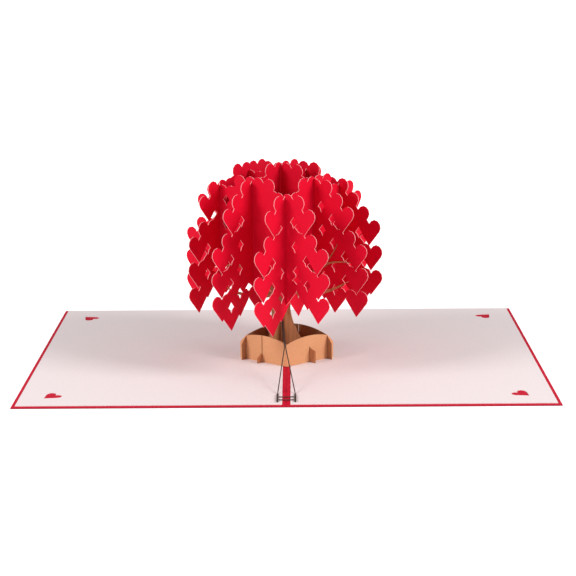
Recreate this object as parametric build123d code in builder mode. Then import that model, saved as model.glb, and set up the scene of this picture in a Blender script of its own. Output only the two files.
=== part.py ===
# Open pop-up greeting card: a red folded cover with white liners, and a slotted-card tree on its spine.
# Millimetres. X runs across the open card, Y along the spine away from the reader, Z up from the table.
import os
from math import asin, cos, pi, radians, sin, sqrt

from build123d import *

# Cover and liners
page_width = 150.0
page_length = 200.0
cover_thickness = 0.4
liner_thickness = 0.3
spine_gap = 4.6
side_margin = 2.0
near_margin = 3.0
far_margin = 0.5
page_heart_width = 10.5
page_heart_inset = 15.5
page_heart_chords = 9
score_width = 0.7
score_depth = 0.15

# Lattice of the tree: two sets of three upright sheets that cross on the spine
tree_x = -3.5
tree_y = -5.5
lattice_turn = 5.5
sheet_spacing = 25.0
leaf_thickness = 0.4
bark_thickness = 0.4
slot_clearance = 0.06

# Heart leaves in staggered rows. Each sheet has its lowest tip, its top, and whether its lowest row is odd.
leaf_width = 16.4
leaf_chords = 6
leaf_column = 7.8
leaf_row = 7.2
crown_sheets = {
    "a": {"front": (24.5, 112.5, True), "middle": (25.5, 118.5, False), "back": (32.0, 116.0, False)},
    "b": {"front": (33.5, 113.0, False), "middle": (33.5, 118.0, True), "back": (33.0, 115.5, True)},
}
crown_shift = 2.0
crown_reach = 55.0
crown_waist = 62.0
crown_cap = 2.0
crown_power = 2.0
top_splay = 0.9
skirt_reach = 36.0
skirt_rise = 12.0
gap_width = 5.0
gap_height = 7.0
gap_rows = 2
hub_height = 50.0
wing_height = 74.0

# Trunk and branches
trunk_half_width = 7.5
trunk_waist = 30.0
crotch_height = 46.0
crotch_half_width = 8.0
leader_half_width = 3.4
leader_top = 94.0
foot_heights = {"a": (5.8, 10.6), "b": (9.0, 8.8)}
tab_end_heights = {"a": (3.0, 6.0), "b": (6.0, 7.4)}
tab_length = 4.6
foot_notch = 3.6
low_branch = {"root": (2.5, 40.0), "middle": (26.0, 42.5), "tip": (51.0, 54.0), "width": 3.8}
main_branch = {"root": (2.5, 43.0), "middle": (15.0, 51.5), "tip": (36.0, 61.0), "width": 4.9}
long_twig = {"root": (24.0, 55.8), "middle": (38.0, 63.0), "tip": (53.0, 65.0), "width": 2.0}
tall_twig = {"root": (22.0, 55.0), "middle": (34.5, 63.0), "tip": (43.0, 75.0), "width": 1.6}
high_branch = {"root": (2.5, 43.0), "middle": (13.0, 65.0), "tip": (21.0, 88.0), "width": 3.0}
branch_taper = 0.7
branch_chords = 7

# Tray of folded strips round the foot of the tree: a kite with its folds on the spine
tray_front_y = -29.5
tray_back_y = 16.5
tray_side_x = 24.5
tray_side_y = -12.0
tray_thickness = 0.4
tray_fold_height = 13.5
tray_arch_height = 16.3
tray_arch_place = 0.62
tray_corner_height = 14.4
tray_ear = 4.2
tray_ear_drop = 4.5
flap_start = 4.5
flap_length = 6.5
flap_depth = 4.0

# Pull thread, from the trunk to a stitch on each page
thread_radius = 0.3
thread_anchor_height = 32.0
thread_split_x = -0.8
thread_split_height = 16.3
thread_split_reach = 14.0
stitch_x = 4.9
stitch_margin = 6.3
stitch_length = 12.0
stitch_radius = 0.55
stitch_lead = 2.5
tie_spacing = 5.0

# Heart proportions, as shares of the heart's width
lobe_share = 0.257
lobe_rise = 0.178
tip_drop = 0.53

page_top = cover_thickness + liner_thickness
stack_thickness = bark_thickness + leaf_thickness
crown_top = max(top for sheets in crown_sheets.values() for _, top, _ in sheets.values())
turns = {"a": 45 + lattice_turn, "b": lattice_turn - 45}
# The middle leaf sheet covers trunk_a from the reader's side, and backs trunk_b.
leaf_offsets = {"a": stack_thickness / 2, "b": -stack_thickness / 2}
tray_folds = {-1: tray_front_y, 1: tray_back_y}
stitch_end = stitch_margin - page_length / 2
stitch_start = stitch_end + stitch_length

os.makedirs("parts", exist_ok=True)


def save(builder, name):
    builder.part.label = name
    export_step(builder.part, f"parts/{name}.step")


def heart(width, chords):
    # Tip down, with the origin between the lobes and the tip. Each lobe is a run of equal chords.
    lobe = lobe_share * width
    lobe_x = width / 2 - lobe
    lobe_y = lobe_rise * width
    drop = tip_drop * width
    reach = sqrt(lobe_x**2 + (lobe_y + drop) ** 2)
    slope = asin(lobe_x / reach) + asin(lobe / reach)
    sweep_angle = pi / 2 + asin(lobe_x / lobe) + slope
    turns_on_lobe = [-slope + sweep_angle * step / chords for step in range(chords + 1)]
    right = [(lobe_x + lobe * cos(turn), lobe_y + lobe * sin(turn)) for turn in turns_on_lobe]
    left = [(-x, y) for x, y in reversed(right[:-1])]
    with BuildSketch(mode=Mode.PRIVATE) as shape:
        Polygon((0, -drop), *right, *left, align=None)
    return shape.sketch


def leaf_gap():
    # Pointed gap above the notch of one leaf and between the sides of the two leaves over it.
    top = gap_height * 0.22
    bottom = top - gap_height
    side = -gap_height * 0.25
    half = gap_width / 2
    hip = (half * 0.42, (side + bottom) / 2 + gap_height * 0.1)
    with BuildSketch(mode=Mode.PRIVATE) as shape:
        Polygon((0, top), (-half, side), (-hip[0], hip[1]), (0, bottom), hip, (half, side), align=None)
    return shape.sketch


def lattice_plane(direction, offset):
    # Upright plane along one set of sheets, offset to the side that faces the reader.
    angle = radians(turns[direction])
    along = (cos(angle), sin(angle), 0)
    facing = (sin(angle), -cos(angle), 0)
    origin = (tree_x + offset * facing[0], tree_y + offset * facing[1], page_top)
    return Plane(origin=origin, x_dir=along, z_dir=facing)


def leaf_grid(offset, lowest_tip, top, odd):
    # Column and row of each leaf, with its place in the sheet: a dome above, thinned out over the trunk.
    grid = {}
    lowest = lowest_tip + tip_drop * leaf_width
    highest = top - (lobe_rise + lobe_share) * leaf_width
    rows = round((highest - lowest) / leaf_row)
    for row in range(rows + 1):
        climb = row * (highest - lowest) / rows
        rise = max(lowest + climb - crown_waist, 0) / (highest + crown_cap - crown_waist)
        length = sqrt(crown_reach**2 - offset**2) * (1 - rise**crown_power) ** (1 / crown_power)
        step = leaf_column * (1 - (1 - top_splay) * rise)
        widest = int(length / step)
        for column in range(-widest, widest + 1):
            skirt = skirt_rise * (1 - abs(column * step) / skirt_reach)
            if (row + column + odd) % 2 == 0 and climb >= skirt:
                grid[column, row] = (crown_shift + column * step, lowest + climb)
    return grid


def crown_outline(grid):
    # The solid field of a sheet, drawn through the lobes of its outermost and lowest leaves.
    rise = lobe_rise * leaf_width
    left, right, under = [], [], []
    for row in sorted({row for column, row in grid}):
        places = [grid[key] for key in sorted(grid) if key[1] == row]
        left.append((places[0][0], places[0][1] + rise))
        right.append((places[-1][0], places[-1][1] + rise))
    for column in sorted({column for column, row in grid}):
        along, height = min((place for key, place in grid.items() if key[0] == column), key=lambda at: at[1])
        if left[0][0] < along < right[0][0]:
            under.append((along, height + rise))
    return left + right[::-1] + under[::-1]


def rim_leaves(grid):
    beside = ((-1, -1), (1, -1), (-1, 1), (1, 1))
    return [
        place
        for (column, row), place in grid.items()
        if any((column + x, row + y) not in grid for x, y in beside)
    ]


def gap_places(grid, slots):
    # Gaps one leaf in from the sides and in the lowest rows, clear of the slots.
    places = []
    for (column, row), (along, height) in grid.items():
        if (column + 2, row) not in grid or (column + 1, row - 1) not in grid:
            continue
        at_side = (column - 2, row) not in grid or (column + 4, row) not in grid
        middle = (along + grid[column + 2, row][0]) / 2
        clear = all(abs(middle - slot) > gap_width / 2 + 1 for slot, *_ in slots)
        if clear and (at_side or row <= gap_rows):
            places.append((middle, height))
    return places


def slot_cut(along, low, high, width):
    with Locations((along, (low + high) / 2)):
        Rectangle(width, high - low, mode=Mode.SUBTRACT)


def canopy_sheet(place, direction, offset, slots):
    grid = leaf_grid(offset, *crown_sheets[direction][place])
    with BuildPart() as sheet:
        with BuildSketch(lattice_plane(direction, offset)) as outline:
            Polygon(*crown_outline(grid), align=None)
            with Locations(*rim_leaves(grid)):
                add(heart(leaf_width, leaf_chords))
            with Locations(*gap_places(grid, slots)):
                add(leaf_gap(), mode=Mode.SUBTRACT)
            for along, low, high, width in slots:
                slot_cut(along, low, high, width)
            for scrap in outline.faces().sort_by(SortBy.AREA)[:-1]:
                add(scrap, mode=Mode.SUBTRACT)
        extrude(amount=leaf_thickness / 2, both=True)
    save(sheet, f"leaves_{direction}_{place}")


def opened_above(along, height, width):
    return (along, height - slot_clearance, crown_top + leaf_row, width + 2 * slot_clearance)


def opened_below(along, height, width):
    return (along, 0, height + slot_clearance, width + 2 * slot_clearance)


def tray_wall(side, hand):
    # Plane of one tray wall, from its fold on the spine towards a side corner; side -1 is the near strip.
    fold = Vector(0, tray_folds[side], page_top)
    corner = Vector(hand * tray_side_x, tray_side_y, page_top)
    along = (corner - fold).normalized()
    return Plane(origin=fold, x_dir=along, z_dir=along.cross(Vector(0, 0, 1)))


def wall_middle(side, hand):
    # The plane halfway through the card of a tray wall, which lies inside its outer face.
    wall = tray_wall(side, hand)
    return wall.offset(inwards(wall, side) * tray_thickness / 2)


def inwards(wall, side):
    return 1 if wall.z_dir.Y * side < 0 else -1


def crossing(first, second):
    # Distances along two upright planes, from their origins to the line where they meet.
    gap = second.origin - first.origin
    across = first.x_dir.cross(second.x_dir).Z
    return gap.cross(second.x_dir).Z / across, gap.cross(first.x_dir).Z / across


def slot_width(first, second, passing, cut):
    # Slot in a sheet as thick as cut, for one as thick as passing that crosses it at an angle.
    cosine = abs(first.x_dir.dot(second.x_dir))
    return (passing + cut * cosine) / sqrt(1 - cosine**2) + 2 * slot_clearance


def branch(hand, root, middle, tip, width):
    # Branch along an arc, tapered from its root to a point at its tip.
    left, right = [], []
    with BuildSketch(mode=Mode.PRIVATE) as shape:
        with BuildLine(mode=Mode.PRIVATE):
            arc = ThreePointArc(*[(hand * along, height) for along, height in (root, middle, tip)])
        for step in range(branch_chords):
            share = step / branch_chords
            place, run = arc @ share, arc % share
            side = Vector(-run.Y, run.X) * (width / 2 * (1 - share) ** branch_taper)
            left.append(place + side)
            right.append(place - side)
        end = arc @ 1
        Polygon(*[(point.X, point.Y) for point in left + [end] + right[::-1]], align=None)
    return shape.sketch


def bole(ends, heights, tab_heights):
    # Flared foot with a tab outside each tray wall, a waist below the branches, and a pointed leader.
    low, high = ends
    with BuildSketch(mode=Mode.PRIVATE) as shape:
        with BuildLine():
            Polyline(
                (low, heights[0]), (low - tab_length, tab_heights[0]), (low - tab_length, 0),
                (high + tab_length, 0), (high + tab_length, tab_heights[1]), (high, heights[1]),
            )
            RadiusArc((high, heights[1]), (trunk_half_width, trunk_waist), trunk_waist)
            Polyline(
                (trunk_half_width, trunk_waist), (crotch_half_width, crotch_height),
                (leader_half_width, crotch_height), (0, leader_top), (-leader_half_width, crotch_height),
                (-crotch_half_width, crotch_height), (-trunk_half_width, trunk_waist),
            )
            RadiusArc((-trunk_half_width, trunk_waist), (low, heights[0]), trunk_waist)
        make_face()
    return shape.sketch


def trunk_sheet(name, direction, ends, slots):
    with BuildPart() as sheet:
        with BuildSketch(lattice_plane(direction, 0)):
            add(bole(ends, foot_heights[direction], tab_end_heights[direction]))
            for hand in (-1, 1):
                for limb in (low_branch, main_branch, long_twig, tall_twig, high_branch):
                    add(branch(hand, **limb))
            for along, low, high, width in slots:
                slot_cut(along, low, high, width)
        extrude(amount=bark_thickness / 2, both=True)
    save(sheet, name)


def tray_strip(name, side, corner_slot):
    # One strip folded on the spine, with a glue flap inside each wall.
    length = sqrt(tray_side_x**2 + (tray_side_y - tray_folds[side]) ** 2)
    with BuildPart() as strip:
        for hand in (-1, 1):
            direction = "a" if hand == side else "b"
            wall = tray_wall(side, hand)
            middle = wall_middle(side, hand)
            trunk = lattice_plane(direction, 0)
            other = wall_middle(-side, hand)
            foot = crossing(middle, trunk)[0]
            foot_width = slot_width(middle, trunk, bark_thickness, tray_thickness)
            if direction == "a":
                foot_span = (foot_notch - slot_clearance, tray_arch_height + 1)
            else:
                foot_span = (0, max(foot_heights["b"]) + tray_thickness + slot_clearance)
            with BuildSketch(wall):
                with BuildLine():
                    Polyline(
                        (0, tray_fold_height), (0, 0), (length + tray_ear, 0),
                        (length + tray_ear, tray_corner_height - tray_ear_drop),
                        (length, tray_corner_height),
                    )
                    ThreePointArc(
                        (length, tray_corner_height),
                        (length * tray_arch_place, tray_arch_height),
                        (0, tray_fold_height),
                    )
                make_face()
                slot_cut(foot, *foot_span, foot_width)
                corner_width = slot_width(middle, other, tray_thickness, tray_thickness)
                slot_cut(crossing(middle, other)[0], *corner_slot, corner_width)
            extrude(amount=inwards(wall, side) * tray_thickness)
            with BuildSketch(wall):
                with Locations((flap_start + flap_length / 2, tray_thickness / 2)):
                    Rectangle(flap_length, tray_thickness)
            extrude(amount=inwards(wall, side) * flap_depth)
    save(strip, name)


def liner(name, hand):
    length = page_length - near_margin - far_margin
    width = page_width - side_margin - spine_gap / 2
    centre = (hand * (spine_gap + width) / 2, (near_margin - far_margin) / 2)
    with BuildPart() as sheet:
        with BuildSketch(Plane.XY.offset(cover_thickness)):
            with Locations(centre):
                Rectangle(width, length)
            for end in (-1, 1):
                across = hand * (page_width - page_heart_inset)
                tip = Vector(across, end * (page_length / 2 - page_heart_inset))
                outwards = Vector(hand, end).normalized()
                middle = tip - outwards * tip_drop * page_heart_width
                turn = {(-1, -1): -45, (1, -1): 45, (1, 1): 135, (-1, 1): -135}[hand, end]
                with Locations(Location((middle.X, middle.Y, 0), (0, 0, turn))):
                    add(heart(page_heart_width, page_heart_chords), mode=Mode.SUBTRACT)
        extrude(amount=liner_thickness)
    save(sheet, name)


def thread(name, hand):
    # Down from the trunk beside its twin, out to its own page, and up to the stitch there.
    lie = page_top + thread_radius
    beside = hand * (thread_radius + slot_clearance / 2)
    clear = (stack_thickness + 2 * thread_radius) * sqrt(2) + slot_clearance
    split_y = tray_front_y - thread_split_reach
    points = [
        (tree_x + beside, tree_y - clear, page_top + thread_anchor_height),
        (thread_split_x + beside, split_y, page_top + thread_split_height),
        (hand * stitch_x, stitch_start + stitch_lead, lie),
        (hand * stitch_x, stitch_start + slot_clearance, lie),
    ]
    with BuildPart() as strand:
        with BuildLine() as route:
            FilletPolyline(*points, radius=6 * thread_radius)
        with BuildSketch(Plane(origin=route.line @ 0, z_dir=route.line % 0)):
            RegularPolygon(thread_radius, 8)
        sweep()
    save(strand, name)


with BuildPart() as cover:
    Box(2 * page_width, page_length, cover_thickness, align=(Align.CENTER, Align.CENTER, Align.MIN))
    with BuildSketch(Plane.XY.offset(cover_thickness)):
        Rectangle(score_width, page_length)
    extrude(amount=-score_depth, mode=Mode.SUBTRACT)
save(cover, "cover")

liner("liner_left", -1)
liner("liner_right", 1)

tray_middle = tray_corner_height / 2
tray_strip("tray_front", -1, (tray_middle - slot_clearance, tray_arch_height + 1))
tray_strip("tray_back", 1, (0, tray_middle + slot_clearance))

# trunk_a drops over the tray walls, and trunk_b stands through them and takes trunk_a in its slot.
stack_width = stack_thickness + 2 * slot_clearance
for direction, walls in (("a", ((-1, -1), (1, 1))), ("b", ((1, -1), (-1, 1)))):
    trunk = lattice_plane(direction, 0)
    crossed = [wall_middle(side, hand) for side, hand in walls]
    ends = [crossing(trunk, wall)[0] for wall in crossed]
    if direction == "a":
        foot_width = max(slot_width(trunk, wall, tray_thickness, bark_thickness) for wall in crossed)
        slots = [(end, 0, foot_notch + slot_clearance, foot_width) for end in ends]
        slots.append((-leaf_offsets["b"] / 2, hub_height - slot_clearance, crown_top, stack_width))
    else:
        slots = [(leaf_offsets["a"] / 2, 0, hub_height + slot_clearance, stack_width)]
    trunk_sheet(f"trunk_{direction}", direction, ends, slots)

# Leaf sheets: the middle pair lie on the trunk sheets, the outer pairs slide down over the middle ones.
for direction, half_slot in (("a", opened_above), ("b", opened_below)):
    centre = -leaf_offsets["b"] / 2 if direction == "a" else leaf_offsets["a"] / 2
    wings = (-sheet_spacing, sheet_spacing)
    canopy_sheet(
        "middle", direction, leaf_offsets[direction],
        [half_slot(centre, hub_height, stack_thickness)]
        + [opened_above(wing, wing_height, leaf_thickness) for wing in wings],
    )
    for place, offset in (("front", sheet_spacing), ("back", -sheet_spacing)):
        canopy_sheet(
            place, direction, offset,
            [opened_below(centre, wing_height, stack_thickness)]
            + [half_slot(wing, wing_height, leaf_thickness) for wing in wings],
        )

thread("pull_thread_left", -1)
thread("pull_thread_right", 1)

with BuildPart() as thread_stitches:
    with BuildSketch(Plane.XZ.offset(-stitch_start)):
        with Locations(*[(hand * stitch_x, page_top + stitch_radius) for hand in (-1, 1)]):
            RegularPolygon(stitch_radius, 8)
    extrude(amount=stitch_length)
    tie_half = stitch_x - stitch_radius - slot_clearance
    tie_middle = (stitch_start + stitch_end) / 2
    with BuildSketch(Plane.YZ.offset(-tie_half)):
        with Locations(*[(tie_middle + end * tie_spacing / 2, page_top + thread_radius) for end in (-1, 1)]):
            RegularPolygon(thread_radius, 8)
    extrude(amount=2 * tie_half)
save(thread_stitches, "thread_stitches")
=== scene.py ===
from math import cos, radians, sin

import bpy
from mathutils import Euler, Matrix, Vector


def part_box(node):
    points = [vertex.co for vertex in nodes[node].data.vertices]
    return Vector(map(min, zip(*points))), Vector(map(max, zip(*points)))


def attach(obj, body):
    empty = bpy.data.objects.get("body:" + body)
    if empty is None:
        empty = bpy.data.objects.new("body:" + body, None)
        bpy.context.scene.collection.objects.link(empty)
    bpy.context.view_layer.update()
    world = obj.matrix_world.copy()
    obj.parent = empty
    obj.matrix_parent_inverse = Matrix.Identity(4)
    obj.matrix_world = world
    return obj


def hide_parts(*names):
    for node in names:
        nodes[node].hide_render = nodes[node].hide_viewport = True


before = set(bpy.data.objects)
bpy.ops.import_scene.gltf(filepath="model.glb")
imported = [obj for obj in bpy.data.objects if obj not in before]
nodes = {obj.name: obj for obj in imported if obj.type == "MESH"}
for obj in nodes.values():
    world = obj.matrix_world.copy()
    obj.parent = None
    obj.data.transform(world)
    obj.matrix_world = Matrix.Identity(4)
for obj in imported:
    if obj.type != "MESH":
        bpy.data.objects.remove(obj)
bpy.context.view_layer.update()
print("stage 1: frame loaded,", len(nodes), "nodes")


def wire(tree, source, socket, target, entry):
    tree.links.new(source.outputs[socket], target.inputs[entry])


def newMaterial(name, roughness):
    material = bpy.data.materials.new(name)
    material.use_nodes = True
    tree = material.node_tree
    shader = tree.nodes["Principled BSDF"]
    shader.inputs["Roughness"].default_value = roughness
    return material, tree, shader


def mathNode(tree, operation, second=None):
    node = tree.nodes.new("ShaderNodeMath")
    node.operation = operation
    if second is not None:
        node.inputs[1].default_value = second
    return node


def vectorNode(tree, operation, second=None):
    node = tree.nodes.new("ShaderNodeVectorMath")
    node.operation = operation
    if second is not None:
        node.inputs[1].default_value = second
    return node


def colourMix(tree, first, second):
    mix = tree.nodes.new("ShaderNodeMix")
    mix.data_type = "RGBA"
    mix.inputs["A"].default_value = (*first, 1)
    mix.inputs["B"].default_value = (*second, 1)
    return mix


def noiseNode(tree, scale, detail):
    noise = tree.nodes.new("ShaderNodeTexNoise")
    noise.inputs["Scale"].default_value = scale
    noise.inputs["Detail"].default_value = detail
    return noise


# Mottle and fibres that every card and paper shares. A look's grain is how strong its mottle is.
cardGrain = {
    "faceLimit": 0.9,
    "mottleScale": 1100.0,
    "mottleDetail": 6.0,
    "mottleLow": 0.3,
    "mottleHigh": 0.7,
    "fibreScale": 1800.0,
    "fibreDetail": 4.0,
    "fibreStrength": 0.08,
    "fibreDepth": 0.0001,
}


def cardMaterial(name, look, facing):
    # Card: one colour on the flat faces and another on the cut edges, with a fine grain.
    material, tree, shader = newMaterial(name, look["roughness"])
    shader.inputs["Specular IOR Level"].default_value = look["sheen"]
    geometry = tree.nodes.new("ShaderNodeNewGeometry")
    across = vectorNode(tree, "DOT_PRODUCT", facing)
    size = mathNode(tree, "ABSOLUTE")
    isFace = mathNode(tree, "GREATER_THAN", cardGrain["faceLimit"])
    mix = colourMix(tree, look["edge"], look["face"])
    place = tree.nodes.new("ShaderNodeTexCoord")
    stretch = tree.nodes.new("ShaderNodeMapping")
    stretch.inputs["Scale"].default_value = look["stretch"]
    mottle = noiseNode(tree, cardGrain["mottleScale"], cardGrain["mottleDetail"])
    spread = tree.nodes.new("ShaderNodeMapRange")
    spread.inputs["From Min"].default_value = cardGrain["mottleLow"]
    spread.inputs["From Max"].default_value = cardGrain["mottleHigh"]
    spread.inputs["To Min"].default_value = 1 - look["grain"]
    spread.inputs["To Max"].default_value = 1 + look["grain"]
    tone = vectorNode(tree, "SCALE")
    fibre = noiseNode(tree, cardGrain["fibreScale"], cardGrain["fibreDetail"])
    bump = tree.nodes.new("ShaderNodeBump")
    bump.inputs["Strength"].default_value = cardGrain["fibreStrength"]
    bump.inputs["Distance"].default_value = cardGrain["fibreDepth"]
    wire(tree, geometry, "True Normal", across, 0)
    wire(tree, across, "Value", size, 0)
    wire(tree, size, "Value", isFace, 0)
    wire(tree, isFace, "Value", mix, "Factor")
    wire(tree, place, "Object", stretch, "Vector")
    wire(tree, stretch, "Vector", mottle, "Vector")
    wire(tree, mottle, "Fac", spread, "Value")
    wire(tree, mix, "Result", tone, 0)
    wire(tree, spread, "Result", tone, "Scale")
    wire(tree, tone, "Vector", shader, "Base Color")
    wire(tree, place, "Object", fibre, "Vector")
    wire(tree, fibre, "Fac", bump, "Height")
    wire(tree, bump, "Normal", shader, "Normal")
    return material


facingUp = (0, 0, 1)
evenGrain = (1, 1, 1)

redCover = {
    "face": (0.54, 0.008, 0.032),
    # Painted shade: the cut edge's darker red stands in for the shade on the card's rim.
    "edge": (0.34, 0.02, 0.045),
    "roughness": 0.6,
    "sheen": 0.1,
    "grain": 0.05,
    "stretch": evenGrain,
}
coverCard = cardMaterial("redCoverCard", redCover, facingUp)

whitePage = {
    "face": (0.80, 0.712, 0.714),
    "edge": (0.9, 0.88, 0.87),
    "roughness": 0.75,
    "sheen": 0.2,
    "grain": 0.03,
    "stretch": evenGrain,
}
pagePaper = cardMaterial("whitePagePaper", whitePage, facingUp)

# The two sets of sheets cross at a right angle, turned a little from the spine (degrees).
lattice = {"halfCross": 45, "turn": 5.5}


def sheetFacing(turn):
    return (sin(radians(turn)), -cos(radians(turn)), 0)


facingA = sheetFacing(lattice["turn"] + lattice["halfCross"])
facingB = sheetFacing(lattice["turn"] - lattice["halfCross"])

redLeaf = {
    "face": (0.70, 0.0022, 0.0245),
    "edge": (0.92, 0.36, 0.39),
    "roughness": 0.62,
    "sheen": 0.1,
    "grain": 0.05,
    "stretch": evenGrain,
}
leafCardA = cardMaterial("redLeafCardA", redLeaf, facingA)
leafCardB = cardMaterial("redLeafCardB", redLeaf, facingB)

# The trunk's grain is drawn out upwards, like the grain of bark. Its kraft is painted darker than the
# tray's: painted shade for the canopy's shadow on the trunk.
shadedTrunkKraft = {
    "face": (0.53, 0.21, 0.092),
    "edge": (0.34, 0.15, 0.072),
    "roughness": 0.8,
    "sheen": 0.15,
    "grain": 0.2,
    "stretch": (0.8, 0.8, 0.06),
}
trunkCardA = cardMaterial("kraftTrunkA", shadedTrunkKraft, facingA)
trunkCardB = cardMaterial("kraftTrunkB", shadedTrunkKraft, facingB)

# The tray's walls face several ways, so the faces that look up or down are its cut edges.
tray = {
    "outside": (0.73, 0.345, 0.17),
    # Painted shade: the inner walls' darker kraft stands in for the shadow inside the tray.
    "inside": (0.40, 0.175, 0.082),
    "cutEdge": (0.44, 0.23, 0.115),
    "roughness": 0.8,
    "sheen": 0.15,
    "grain": 0.06,
    "stretch": evenGrain,
}


def trayMiddle():
    frontLow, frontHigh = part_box("tray_front")
    backLow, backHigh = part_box("tray_back")
    low = [min(pair) for pair in zip(frontLow, backLow)]
    high = [max(pair) for pair in zip(frontHigh, backHigh)]
    return [(start + end) / 2 for start, end in zip(low, high)]


def trayMaterial():
    # A wall's side that looks towards the tray's middle is painted a darker kraft: painted shade for the
    # shadow inside the tray.
    look = {**tray, "face": tray["cutEdge"], "edge": tray["outside"]}
    material = cardMaterial("kraftTray", look, facingUp)
    tree = material.node_tree
    outwards = vectorNode(tree, "SUBTRACT", trayMiddle())
    side = vectorNode(tree, "DOT_PRODUCT")
    isInside = mathNode(tree, "LESS_THAN", 0.0)
    wall = colourMix(tree, tray["outside"], tray["inside"])
    wire(tree, tree.nodes["Texture Coordinate"], "Object", outwards, 0)
    wire(tree, outwards, "Vector", side, 0)
    wire(tree, tree.nodes["Geometry"], "True Normal", side, 1)
    wire(tree, side, "Value", isInside, 0)
    wire(tree, isInside, "Value", wall, "Factor")
    wire(tree, wall, "Result", tree.nodes["Mix"], "A")
    return material


# Sizes and places of the pull thread are in metres.
pullThread = {
    "dark": (0.018, 0.010, 0.007),
    "light": (0.075, 0.045, 0.03),
    "bandScale": 2600.0,
    "roughness": 0.85,
    "diameter": 0.0006,
    "length": 0.081,
    "roundness": 3,
    "smoothness": 16,
    "routes": {
        "left": [
            (-0.00383, -0.00754, 0.0327),
            (-0.00138, -0.0402, 0.0184),
            (-0.00113, -0.0435, 0.0170),
            (-0.00148, -0.0468, 0.0155),
            (-0.00467, -0.0770, 0.0020),
            (-0.0049, -0.0792, 0.0010),
            (-0.0049, -0.08164, 0.0010),
        ],
        "right": [
            (-0.00317, -0.00754, 0.0327),
            (-0.00072, -0.0402, 0.0184),
            (-0.00047, -0.0435, 0.0170),
            (0.00002, -0.0468, 0.0155),
            (0.00457, -0.0770, 0.0020),
            (0.0049, -0.0792, 0.0010),
            (0.0049, -0.08164, 0.0010),
        ],
    },
}


def threadMaterial():
    # Twisted thread: slanting light and dark bands.
    material, tree, shader = newMaterial("brownThread", pullThread["roughness"])
    place = tree.nodes.new("ShaderNodeTexCoord")
    bands = tree.nodes.new("ShaderNodeTexWave")
    bands.bands_direction = "DIAGONAL"
    bands.inputs["Scale"].default_value = pullThread["bandScale"]
    ramp = tree.nodes.new("ShaderNodeValToRGB")
    ramp.color_ramp.elements[0].color = (*pullThread["dark"], 1)
    ramp.color_ramp.elements[1].color = (*pullThread["light"], 1)
    wire(tree, place, "Object", bands, "Vector")
    wire(tree, bands, "Fac", ramp, "Fac")
    wire(tree, ramp, "Color", shader, "Base Color")
    return material


# The first key that is part of a node's name gives the node's material.
materialOf = {
    "cover": coverCard,
    "liner": pagePaper,
    "leaves_a": leafCardA,
    "leaves_b": leafCardB,
    "trunk_a": trunkCardA,
    "trunk_b": trunkCardB,
    "tray": trayMaterial(),
    "thread": threadMaterial(),
}
for name, node in nodes.items():
    family = next(key for key in materialOf if key in name)
    node.data.materials.clear()
    node.data.materials.append(materialOf[family])
print("stage 2: materials on every node")


def drawThread(side, route):
    # One strand, drawn taut from the trunk to the stitch on its own page.
    line = bpy.data.curves.new(f"pullThread_{side}", "CURVE")
    line.dimensions = "3D"
    line.bevel_depth = pullThread["diameter"] / 2
    line.bevel_resolution = pullThread["roundness"]
    line.resolution_u = pullThread["smoothness"]
    line.use_fill_caps = True
    spline = line.splines.new("NURBS")
    spline.points.add(len(route) - 1)
    for point, place in zip(spline.points, route):
        point.co = (*place, 1)
    spline.order_u = 3
    spline.use_endpoint_u = True
    line.materials.append(materialOf["thread"])
    strand = bpy.data.objects.new(line.name, line)
    bpy.context.scene.collection.objects.link(strand)
    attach(strand, "root")
    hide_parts(f"pull_thread_{side}")


for side, route in pullThread["routes"].items():
    drawThread(side, route)
print("stage 3: pull threads")

floor = {
    "size": 14.0,
    "drop": -0.0002,
    "colour": (0.93, 0.93, 0.93),
    "roughness": 0.9,
    "glowFrom": 0.12,
    "glowTo": 0.6,
    "nearGlow": 0.35,
    "farGlow": 1.0,
}


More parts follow.
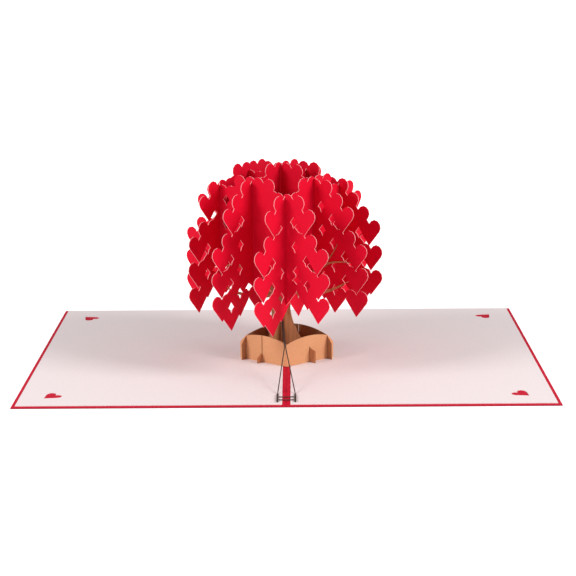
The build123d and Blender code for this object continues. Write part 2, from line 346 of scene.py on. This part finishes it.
def floorMaterial():
    # The glow grows with distance. Camera, mirrored and clear rays see it, and it adds no diffuse light.
    material, tree, shader = newMaterial("paleFloor", floor["roughness"])
    shader.inputs["Base Color"].default_value = (*floor["colour"], 1)
    shader.inputs["Emission Color"].default_value = (1, 1, 1, 1)
    place = tree.nodes.new("ShaderNodeTexCoord")
    reach = vectorNode(tree, "LENGTH")
    glow = tree.nodes.new("ShaderNodeMapRange")
    glow.inputs["From Min"].default_value = floor["glowFrom"]
    glow.inputs["From Max"].default_value = floor["glowTo"]
    glow.inputs["To Min"].default_value = floor["nearGlow"]
    glow.inputs["To Max"].default_value = floor["farGlow"]
    ray = tree.nodes.new("ShaderNodeLightPath")
    seenOrMirrored = mathNode(tree, "MAXIMUM")
    seenAtAll = mathNode(tree, "MAXIMUM")
    seenGlow = mathNode(tree, "MULTIPLY")
    wire(tree, place, "Object", reach, 0)
    wire(tree, reach, "Value", glow, "Value")
    wire(tree, ray, "Is Camera Ray", seenOrMirrored, 0)
    wire(tree, ray, "Is Glossy Ray", seenOrMirrored, 1)
    wire(tree, seenOrMirrored, "Value", seenAtAll, 0)
    wire(tree, ray, "Is Transmission Ray", seenAtAll, 1)
    wire(tree, glow, "Result", seenGlow, 0)
    wire(tree, seenAtAll, "Value", seenGlow, 1)
    wire(tree, seenGlow, "Value", shader, "Emission Strength")
    return material


bpy.ops.object.select_all(action="DESELECT")
bpy.ops.mesh.primitive_plane_add(size=floor["size"], location=(0, 0, floor["drop"]))
floorPlane = bpy.context.object
floorPlane.name = "floor"
floorPlane.data.materials.append(floorMaterial())
print("stage 4: floor")

lights = {
    "keyLeft": {"at": (-1.12, -0.5, 0.78), "size": 0.5, "power": 11.9},
    "keyRight": {"at": (1.14, -0.48, 0.78), "size": 0.5, "power": 14.4},
    "overhead": {"at": (0.0, 0.2, 1.3), "size": 0.9, "power": 1.2},
}
studio = {"aim": (0, -0.01, 0.05), "worldColour": (1, 1, 1, 1), "worldStrength": 0.42}
scene = bpy.context.scene
for name, light in lights.items():
    data = bpy.data.lights.new(name, "AREA")
    data.size = light["size"]
    data.energy = light["power"]
    lamp = bpy.data.objects.new(name, data)
    lamp.location = light["at"]
    beam = Vector(studio["aim"]) - Vector(light["at"])
    lamp.rotation_euler = beam.to_track_quat("-Z", "Y").to_euler()
    scene.collection.objects.link(lamp)
world = bpy.data.worlds.new("studio")
world.use_nodes = True
background = world.node_tree.nodes["Background"]
background.inputs["Color"].default_value = studio["worldColour"]
background.inputs["Strength"].default_value = studio["worldStrength"]
scene.world = world
scene.view_settings.view_transform = "Standard"
print("stage 5: lights")

# Place in metres, angles in degrees, lens and sensor in millimetres.
photoView = {
    "at": (0.0044, -0.8395, 0.2569),
    "pitch": 14.41,
    "yaw": 0.233,
    "roll": -0.423,
    "lens": 89.87,
    "sensor": 36,
}
cameraData = bpy.data.cameras.new("camera")
cameraData.lens = photoView["lens"]
cameraData.sensor_width = photoView["sensor"]
camera = bpy.data.objects.new("camera", cameraData)
camera.location = photoView["at"]
aim = Euler((radians(90 - photoView["pitch"]), 0, radians(photoView["yaw"]))).to_matrix()
tilt = Matrix.Rotation(radians(photoView["roll"]), 3, "Z")
camera.rotation_euler = (aim @ tilt).to_euler()
scene.collection.objects.link(camera)
scene.camera = camera
print("stage 6: camera")
